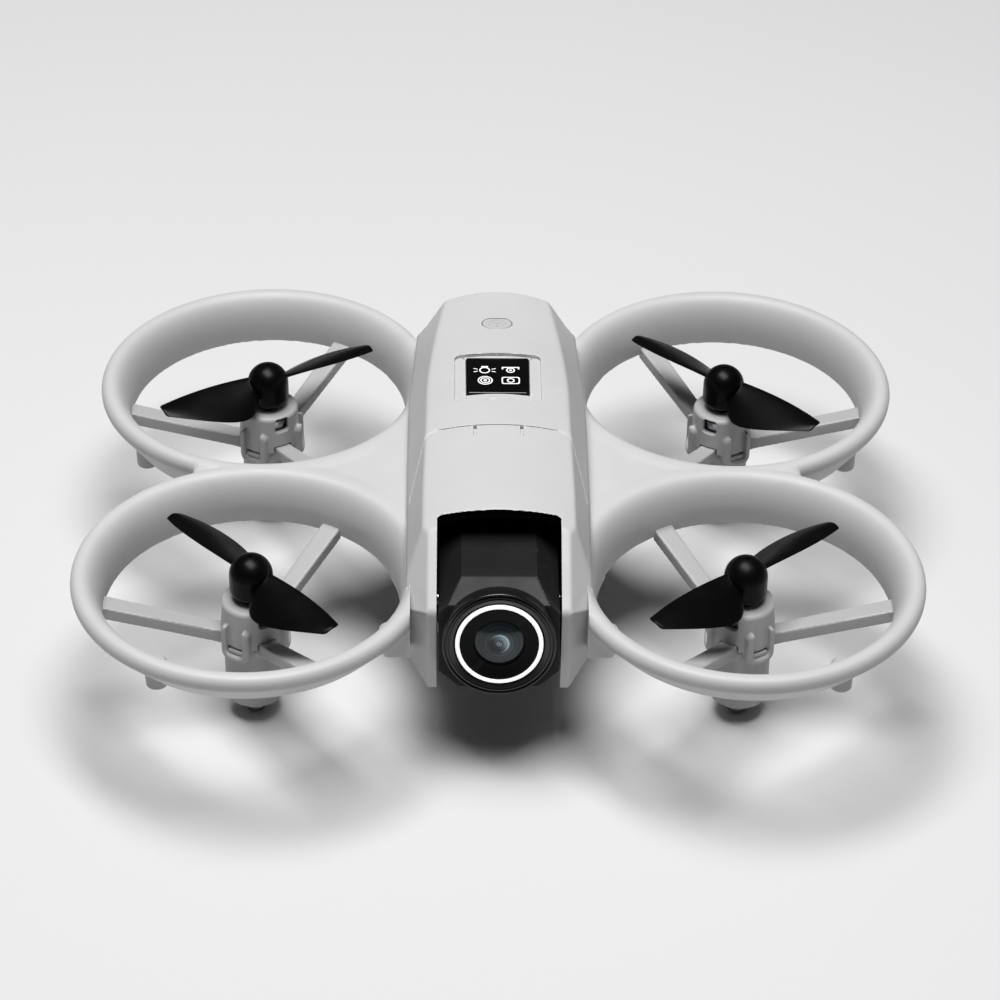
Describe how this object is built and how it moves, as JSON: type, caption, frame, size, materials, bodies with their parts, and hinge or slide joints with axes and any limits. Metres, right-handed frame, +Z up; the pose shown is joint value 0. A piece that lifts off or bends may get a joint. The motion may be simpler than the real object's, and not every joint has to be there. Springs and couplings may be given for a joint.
{
  "type": "mini palm drone",
  "caption": "Palm-size drone with ducted two-blade rotors, a raised fuselage with a small display and power key, a tilting nose camera and a slide-out tail battery.",
  "frame": {"origin": "centre of the plan outline on the plane of the rubber feet", "axes": "-Y ahead, out of the nose; +Z up; +X to the right of someone who stands in front of the nose and faces it"},
  "size_m": [0.157, 0.129, 0.0463],
  "materials": {
    "shell": "fine matte moulded, light neutral grey",
    "frame_plastic": "matte moulded, mid neutral grey",
    "black_plastic": "satin black moulded",
    "steel": "bright turned metal",
    "winding": "enamelled copper and gilt contact",
    "board": "solder-resist green laminate",
    "optic_glass": "coated dark glass",
    "white_lamp": "opal white, lit",
    "rubber": "soft matt"
  },
  "bodies": {
    "airframe": {"upper_shell": "shell", "nose_cover": "shell", "belly_shell": "frame_plastic", "duct_frame_fl": "frame_plastic", "duct_frame_fr": "frame_plastic", "duct_frame_rl": "frame_plastic", "duct_frame_rr": "frame_plastic", "motor_cap_fl": "frame_plastic", "motor_cap_fr": "frame_plastic", "motor_cap_rl": "frame_plastic", "motor_cap_rr": "frame_plastic", "motor_stator_fl": "winding", "motor_stator_fr": "winding", "motor_stator_rl": "winding", "motor_stator_rr": "winding", "foot_pads": "rubber", "guard_pegs": "frame_plastic", "display_bezel": "black_plastic", "display_glass": "optic_glass", "display_icons": "white_lamp", "button_switch": "steel", "main_board": "board", "shield_can": "steel", "board_chips": "black_plastic", "camera_yoke": "black_plastic", "tilt_motor": "steel", "camera_flex": "winding", "flow_camera": "black_plastic", "range_sensor": "optic_glass", "charge_port": "steel", "antennas": "board", "speaker": "black_plastic", "battery_terminal": "black_plastic", "shell_screws": "steel", "motor_screws": "steel", "motor_leads": "winding"},
    "camera": {"camera_housing": "black_plastic", "lens_barrel": "black_plastic", "light_ring": "white_lamp", "lens_hood": "black_plastic", "lens_glass": "optic_glass", "camera_pivot": "steel"},
    "power_key": {"power_button": "shell"},
    "battery": {"battery_pack": "frame_plastic", "battery_contacts": "winding"},
    "latch_l": {"battery_latch_l": "rubber"},
    "latch_r": {"battery_latch_r": "rubber"},
    "rotor_fl": {"rotor_bell_fl": "steel", "propeller_fl": "black_plastic"},
    "rotor_fr": {"rotor_bell_fr": "steel", "propeller_fr": "black_plastic"},
    "rotor_rl": {"rotor_bell_rl": "steel", "propeller_rl": "black_plastic"},
    "rotor_rr": {"rotor_bell_rr": "steel", "propeller_rr": "black_plastic"}
  },
  "joints": [
    {"name": "rotor_fl_spin", "type": "hinge", "parent": "airframe", "child": "rotor_fl", "pos_m": [-0.0455, -0.0315, 0.0316], "axis": [0, 0, 1], "continuous": true},
    {"name": "rotor_fr_spin", "type": "hinge", "parent": "airframe", "child": "rotor_fr", "pos_m": [0.0455, -0.0315, 0.0316], "axis": [0, 0, 1], "continuous": true},
    {"name": "rotor_rl_spin", "type": "hinge", "parent": "airframe", "child": "rotor_rl", "pos_m": [-0.0455, 0.0315, 0.0316], "axis": [0, 0, 1], "continuous": true},
    {"name": "rotor_rr_spin", "type": "hinge", "parent": "airframe", "child": "rotor_rr", "pos_m": [0.0455, 0.0315, 0.0316], "axis": [0, 0, 1], "continuous": true},
    {"name": "camera_tilt", "type": "hinge", "parent": "airframe", "child": "camera", "pos_m": [0, -0.0311, 0.0256], "axis": [1, 0, 0], "range_deg": [-20, 100]},
    {"name": "power_press", "type": "slide", "parent": "airframe", "child": "power_key", "axis": [0, 0, -1], "range_m": [0, 0.0006], "stiffness_N_per_m": 400, "springref_m": -0.0003},
    {"name": "battery_slide", "type": "slide", "parent": "airframe", "child": "battery", "axis": [0, 1, 0], "range_m": [0, 0.046]},
    {"name": "latch_l_press", "type": "slide", "parent": "battery", "child": "latch_l", "axis": [1, 0, 0], "range_m": [0, 0.0008], "stiffness_N_per_m": 500, "springref_m": -0.0003},
    {"name": "latch_r_press", "type": "slide", "parent": "battery", "child": "latch_r", "axis": [-1, 0, 0], "range_m": [0, 0.0008], "stiffness_N_per_m": 500, "springref_m": -0.0003}
  ]
}
